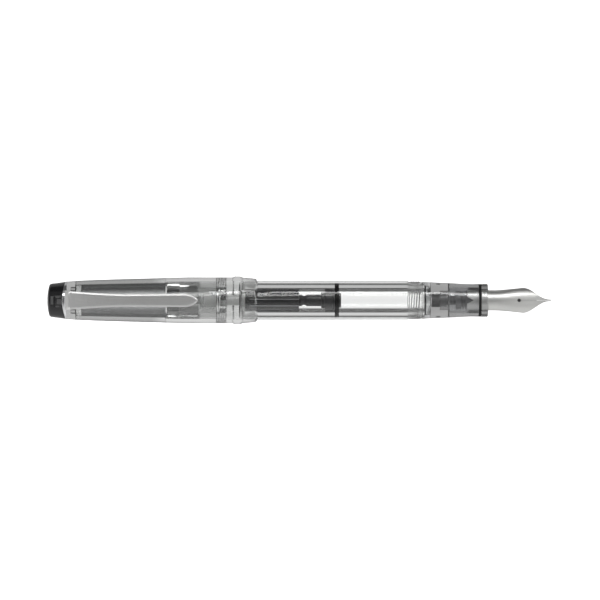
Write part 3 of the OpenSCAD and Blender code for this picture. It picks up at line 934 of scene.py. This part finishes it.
def build_crown():
    end_r, dome, seat_r, socket_r, socket_x = 4.95, 0.7, 5.58, 1.45, -106.4
    frame_x, frame_y, half_long, half_wide, frame_depth = -104.35, -0.4, 1.15, 1.25, 0.16
    rim = [(end_r * t * 0.78, crown_end + dome * t ** 2 * 0.62, 0) for t in (i / 8 for i in range(8))]
    outline = rounded([
        *rim, (end_r, crown_end + dome, 1.0), (seat_r - 0.3, crown_seat - 2.0, 0.3), (seat_r, crown_seat),
        (socket_r, crown_seat, 0.05), (socket_r, socket_x), (0, socket_x)
    ], 0.1, steps=7)
    outline = stretch(outline, crown_end + 1.3, crown_seat, 0.22)
    bend_x = crown_end + 1.5

    def shape(r, x, angle):
        x += seam_rise(angle) * ease((x - bend_x) / (crown_seat - bend_x))
        if r > 4 and x > socket_x - 0.2 and math.cos(angle) > 0.5:
            off = max(abs(x - frame_x) - half_long, abs(r * math.sin(angle) - frame_y) - half_wide)
            r -= frame_depth * ease((0.35 - abs(off)) / 0.2) * ease((-103.7 - x) / 0.3 + 1)
        return r, x
    obj = lathe("cap_crown", outline, CROWN, shape=shape, around=240)
    place(obj, "cap", "black_resin", "crown")


def build_clip_ring():
    ring_r, hole_r, seam_width = 5.66, 1.6, 0.25
    band = rounded([
        (hole_r, crown_seat), (ring_r, crown_seat, 0.08), (ring_r, cap_rear, 0.08), (hole_r, cap_rear)
    ], 0.05)

    def shape(r, x, angle):
        return r, x + (seam_rise(angle) if x < crown_seat + seam_width and r > 4.5 else 0)
    ring = lathe("ring", band, CHROME, shape=shape)
    tab_front, tab_half, tab_low, tab_high = span("clip_ring")[1] - 0.02, 1.9, 5.2, 6.0
    tab = block((crown_seat + 0.1, -tab_half, tab_low), (tab_front, tab_half, tab_high), material=CHROME)
    place(join("clip_ring_band", [ring, soften(tab, 0.1, 3)]), "cap", "chrome", "clip_ring")


# ---- clip

clip_rear, clip_front, clip_half_w = span("clip")
waist_x, spade_x = -84, -67


def clip_top(x):
    """Height of the clip's top face."""
    bend, root_z, rise, fall = 1.4, 7.0, 1.4, 0.35
    if x < clip_rear + bend:
        return root_z + rise * math.sin(math.pi / 2 * (x - clip_rear) / bend)
    return root_z + rise - fall * ease((x - clip_rear - bend) / (spade_x - clip_rear - bend))


def clip_half(x):
    """Half width of the clip."""
    waist, spade = 1.85, 2.0
    if x < waist_x:
        return waist + (clip_half_w - waist) * ((waist_x - x) / (waist_x - clip_rear)) ** 1.6
    if x < spade_x:
        return waist + (spade - waist) * ease((x - waist_x) / (spade_x - waist_x))
    t = max(0.0, (clip_front - x) / (clip_front - spade_x))
    return spade * (1 - (1 - t) ** 2) ** 0.7


def build_clip():
    chamfer, drop, corner, side, strap_t, edge = 0.4, 0.24, 0.1, 4, 0.8, 0.03
    steps = 110
    rings = []
    for i in range(steps + 1):
        x = clip_rear + (clip_front - 0.02 - clip_rear) * (1 - (1 - i / steps) ** 1.35)
        half = max(0.05, clip_half(x))
        top = clip_top(x)
        slope_w = min(chamfer, 0.6 * half)
        round_r = min(corner, 0.3 * half)
        flat_half = half - slope_w - round_r
        face = [(flat_half * k / 4, 0.0) for k in range(5)]
        slope = [(flat_half + edge + (slope_w - edge) * k / 3, -0.01 - drop * (slope_w - edge) * k / 3)
                 for k in range(4)]
        edge_z = slope[-1][1]
        upper = [(half - round_r + round_r * math.sin(a), edge_z - round_r + round_r * math.cos(a))
                 for a in (math.pi / 2 * j / side for j in range(1, side + 1))]
        lower = [(half - 0.15 * (1 - math.cos(a)), -strap_t + 0.15 * (1 - math.sin(a)))
                 for a in (math.pi / 2 * j / 3 for j in range(4))]
        profile = face + slope + upper + lower + [(half * 0.5, -strap_t)]
        right = [(x, y, top + z) for y, z in profile]
        left = [(x, -y, top + z) for y, z in reversed(profile[1:])]
        rings.append([*right, (x, 0, top - strap_t), *left])
    obj = loft("pocket_clip", rings, CLIP)
    smooth(obj.data, 18)
    place(obj, "clip", "clip_steel", "clip")


build_barrel()
build_section()
build_nib_collar()
build_o_ring("section_o_ring", "section_seal", (groove_rear + groove_front) / 2, 4.3, 0.23)
build_o_ring("rear_o_ring", "rear_seal", barrel_rear - 0.3, 5.3, 0.2)
build_front_seal()
build_nib()
build_tipping()
build_feed()
build_sleeve()
build_mechanism_collar()
build_lock_ring()
build_knob()
build_knob_plug()
build_spindle()
build_piston_rod()
build_piston_head()
build_piston_seal()
build_seal_screw()
build_cap_shell()
build_inner_cap()
build_crown()
build_clip_ring()
build_clip()
dress("knob_ring", CHROME)
dress("crown_screw", SCREW)


# ---- stage, light and camera

WHITE = (1, 1, 1, 1)
REAR, FRONT, FAR = -120, 60, 60    # where the paper's brightness curves end, along X and across


def glow_material(name):
    """White emission: its material, its tree and its Emission node, linked to the output."""
    material = bpy.data.materials.new(name)
    material.use_nodes = True
    tree = material.node_tree
    tree.nodes.clear()
    glow = add_node(tree, "Emission", Color=WHITE)
    add_node(tree, "OutputMaterial", Surface=glow.outputs["Emission"])
    return material, tree, glow


def level_curve(tree, value, points, top=1.2):
    """Brightness that follows (value, level) points, straight between them. top is above every level."""
    low, high = points[0][0], points[-1][0]
    share = add_node(tree, "MapRange", Value=value, From_Min=low, From_Max=high).outputs["Result"]
    node = add_node(tree, "FloatCurve", Value=share)
    curve = node.mapping.curves[0]
    places = [((v - low) / (high - low), level / top) for v, level in points]
    curve.points[0].location = places[0]
    curve.points[1].location = places[-1]
    for where in places[1:-1]:
        curve.points.new(*where)
    for point in curve.points:
        point.handle_type = "VECTOR"
    node.mapping.update()
    return compute(tree, "MULTIPLY", node.outputs["Value"], top)


def sheet(name, outline, z, material, bent_only=True):
    """Flat stage piece, by default seen only by light that clear parts bend."""
    mesh = bpy.data.meshes.new(name)
    mesh.from_pydata([(x * MM, y * MM, z * MM) for x, y in outline], [], [list(range(len(outline)))])
    mesh.materials.append(material)
    obj = add_object(name, mesh)
    if bent_only:
        obj.visible_camera = obj.visible_diffuse = obj.visible_glossy = obj.visible_shadow = False
    return obj


def path_switch(tree):
    """Gives a function that picks between two levels by how many faces the light has passed."""
    path = add_node(tree, "LightPath")

    def past(output, limit, before, after):
        test = compute(tree, "GREATER_THAN", path.outputs[output], limit)
        return add_node(tree, "Mix", Factor=test, A=before, B=after).outputs["Result"]
    return past


def build_table(outline, z):
    """White table, which only the camera and diffuse light see."""
    material, _, principled = shader_nodes("table")
    wire(principled, Base_Color=(0.9, 0.9, 0.9, 1), Roughness=0.9, Emission_Color=WHITE,
         Emission_Strength=0.9)
    floor = sheet("floor", outline, z, material, bent_only=False)
    floor.visible_transmission = floor.visible_glossy = False


def painted_shading_level(tree):
    """Painted light and shade of the glowing sheet under the table, by place and by how many faces the light
    has passed: painted shadow bands, a painted bright caustic line and painted pale patches.
    """
    landed = axes(tree, add_node(tree, "TexCoord").outputs["Object"])
    past = path_switch(tree)

    def along(*points):
        return level_curve(tree, landed["X"], [(x * MM, level) for x, level in points])

    def across(*points):
        return level_curve(tree, landed["Y"], [(y * MM, level) for y, level in points])
    # Painted shadow bands beside a painted bright caustic line, where light bent through the pen's walls
    # would fall on the paper.
    through_bore = across((-FAR, 0.4), (-20, 0.12), (-5.5, 0.04), (-4.5, 0.45), (-4, 0.98), (0, 0.95),
                          (4.1, 0.98), (4.9, 0.6), (6.2, 0.08), (20, 0.1), (FAR, 0.3))
    through_wall = across((-FAR, 0.03), (-27, 0.03), (-22.5, 0.2), (-18, 0.68), (-7.5, 0.64), (-6, 0.14),
                          (0, 0.12), (6, 0.14), (7.5, 0.54), (16.5, 0.54), (22.5, 0.15), (26, 0.03),
                          (FAR, 0.03))
    wall_share = along((REAR, 0.62), (-77, 0.62), (-73, 1.0), (5, 1.0), (6.5, 0.62), (FRONT, 0.62))
    solid = along((REAR, 0.42), (-95, 0.45), (-76, 0.6), (-60, 0.7), (-50, 0.78), (FRONT, 0.78))
    inner_solid = along((REAR, 0.8), (-92, 0.8), (-88, 0.25), (FRONT, 0.25))
    inner_wall = across((-FAR, 0.1), (-22, 0.12), (-12, 0.1), (-6, 0.05), (6, 0.05), (12, 0.06), (22, 0.1),
                        (FAR, 0.1))
    deep = across((-FAR, 0.04), (-6, 0.05), (-4.5, 0.08), (-2.5, 0.3), (2.5, 0.3), (4.5, 0.08), (6, 0.05),
                  (FAR, 0.04))
    # Painted pale patches: brightness added under the knob, the collar and the section.
    painted_pale_patches = along((REAR, 0.0), (-63.2, 0.0), (-62.5, 0.38), (-57.8, 0.34), (-57.2, 0.52),
                         (-50.2, 0.58), (-49.5, 0.28), (-46.2, 0.24), (-45.5, 0.0), (5.2, 0.0),
                         (5.4, 0.62), (6.6, 0.62), (6.8, 0.36), (17.5, 0.33), (18.5, 0.0), (FRONT, 0.0))
    wall = compute(tree, "MULTIPLY", through_wall, wall_share)
    tube = past("Transmission Depth", 2.5, past("Ray Depth", 2.5, solid, wall), through_bore)
    inner = past("Ray Depth", 6.5, inner_solid, inner_wall)
    nested = past("Transmission Depth", 4.5, tube, inner)
    strength = past("Transmission Depth", 6.5, nested, deep)
    return compute(tree, "MAXIMUM", strength, painted_pale_patches)


def build_painted_shading_sheet(outline, z):
    """Glowing sheet under the table, painted with the pen's shadow bands and caustic line, which only the
    clear parts bend into view.
    """
    painted_shading_material, tree, glow = glow_material("painted_shading_glow")
    wire(glow, Strength=painted_shading_level(tree))
    sheet("painted_shading_sheet", outline, z, painted_shading_material)


def build_painted_highlight_cards(z):
    """Two glowing cards on the painted sheet, painted highlights in the knob, seen only by light reflected
    once on its way through six faces.
    """
    painted_highlight_material, tree, glow = glow_material("painted_highlight_glow")
    past = path_switch(tree)
    bounced = past("Ray Depth", 6.5, 0.0, 1.0)
    bounced_once = past("Transmission Depth", 6.5, bounced, 0.0)
    shown = past("Transmission Depth", 5.5, 0.0, bounced_once)
    show = add_node(tree, "MixShader", Fac=shown)
    supply(show.inputs[1], add_node(tree, "BsdfTransparent").outputs["BSDF"])
    supply(show.inputs[2], glow.outputs["Emission"])
    wire(glow, Strength=2.1)
    wire(tree.nodes["Material Output"], Surface=show.outputs["Shader"])
    corners = np.linspace(0, FULL_TURN, 48, endpoint=False)
    # Painted highlights: two glowing ellipses under the knob cavity.
    for i, (x, y, half_x, half_y) in enumerate([(-69.0, 3.2, 3.4, 3.8), (-71.0, -2.4, 1.5, 2.6)]):
        outline = [(x + half_x * math.cos(a), y + half_y * math.sin(a)) for a in corners]
        sheet(f"card_{i}", outline, z, painted_highlight_material)


def build_stage():
    reach, table_z = 3000, cad_low.z / MM - 0.05
    square = [(-reach, -reach), (reach, -reach), (reach, reach), (-reach, reach)]
    build_table(square, table_z)
    build_painted_highlight_cards(table_z - 0.01)
    build_painted_shading_sheet(square, table_z - 0.02)


def soft_light(name, middle, towards, distance, width, length, radiance):
    """Rectangular softbox of a given brightness that faces a station on the axis, its length along X."""
    light = bpy.data.lights.new(name, "AREA")
    light.shape = "RECTANGLE"
    light.size, light.size_y = length, width
    light.energy = radiance * math.pi * width * length
    away = Vector(towards).normalized()
    up = away.cross(Vector((1, 0, 0))).normalized()
    side = up.cross(away).normalized()
    obj = add_object(name, light)
    obj.location = Vector((middle, 0, 0)) + away * distance
    obj.rotation_mode = "QUATERNION"
    obj.rotation_quaternion = Matrix((side, up, away)).transposed().to_quaternion()
    obj.visible_camera = False


def build_lights():
    """Three key lights above the pen, turned towards +Y by their degrees, and a panel over each end."""
    key_distance, key_width = 0.6, 0.13
    for name, middle, length, degrees, radiance in [
        ("key_softbox", 0.1005, 0.293, 47, 7.5),
        ("key_softbox_neck", -0.0595, 0.027, 40, 8.0),
        ("key_softbox_rear", -0.161, 0.176, 36, 2.8),
    ]:
        turn = math.radians(degrees)
        towards = (0, math.sin(turn), math.cos(turn))
        soft_light(name, middle, towards, key_distance, key_width, length, radiance)
    tilt, panel_middle, panel_distance, panel_width, panel_length = math.radians(27), -0.03, 0.8, 0.8, 0.22
    for name, side, radiance in [("end_panel_left", -1, 1.7), ("end_panel_right", 1, 0.9)]:
        towards = (side * math.sin(tilt), 0, math.cos(tilt))
        soft_light(name, panel_middle, towards, panel_distance, panel_width, panel_length, radiance)


def build_world():
    """Studio whose brightness changes with the angle round the pen's axis, given here in degrees."""
    levels = [(-180, 0.5), (-115, 0.7), (-90, 0.9), (-66, 0.8), (-45, 0.72), (-22, 0.32), (-12, 0.16),
              (0, 0.135), (12, 0.17), (28, 0.3), (60, 0.3), (66, 0.1), (100, 0.1), (112, 0.45), (180, 0.5)]
    world = bpy.data.worlds.new("studio")
    bpy.context.scene.world = world
    world.use_nodes = True
    tree = world.node_tree
    direction = axes(tree, add_node(tree, "TexCoord").outputs["Generated"])
    turn = compute(tree, "ARCTAN2", direction["Y"], direction["Z"])
    level = level_curve(tree, turn, [(math.radians(a), v) for a, v in levels], 1.0)
    wire(tree.nodes["Background"], Strength=level, Color=WHITE)


def build_camera():
    camera = bpy.data.cameras.new("camera")
    camera.lens = 240
    camera.sensor_width = 36
    camera.clip_end = 10
    obj = add_object("camera", camera)
    obj.location = (-0.0324, 0.0001, 1.2)
    bpy.context.scene.camera = obj


build_stage()
build_world()
build_lights()
build_camera()

scene = bpy.context.scene
scene.view_settings.view_transform = "Standard"
scene.cycles.max_bounces = 40
scene.cycles.transmission_bounces = 40
scene.cycles.transparent_max_bounces = 16
scene.cycles.glossy_bounces = 10
scene.cycles.diffuse_bounces = 3
scene.cycles.sample_clamp_indirect = 4.0
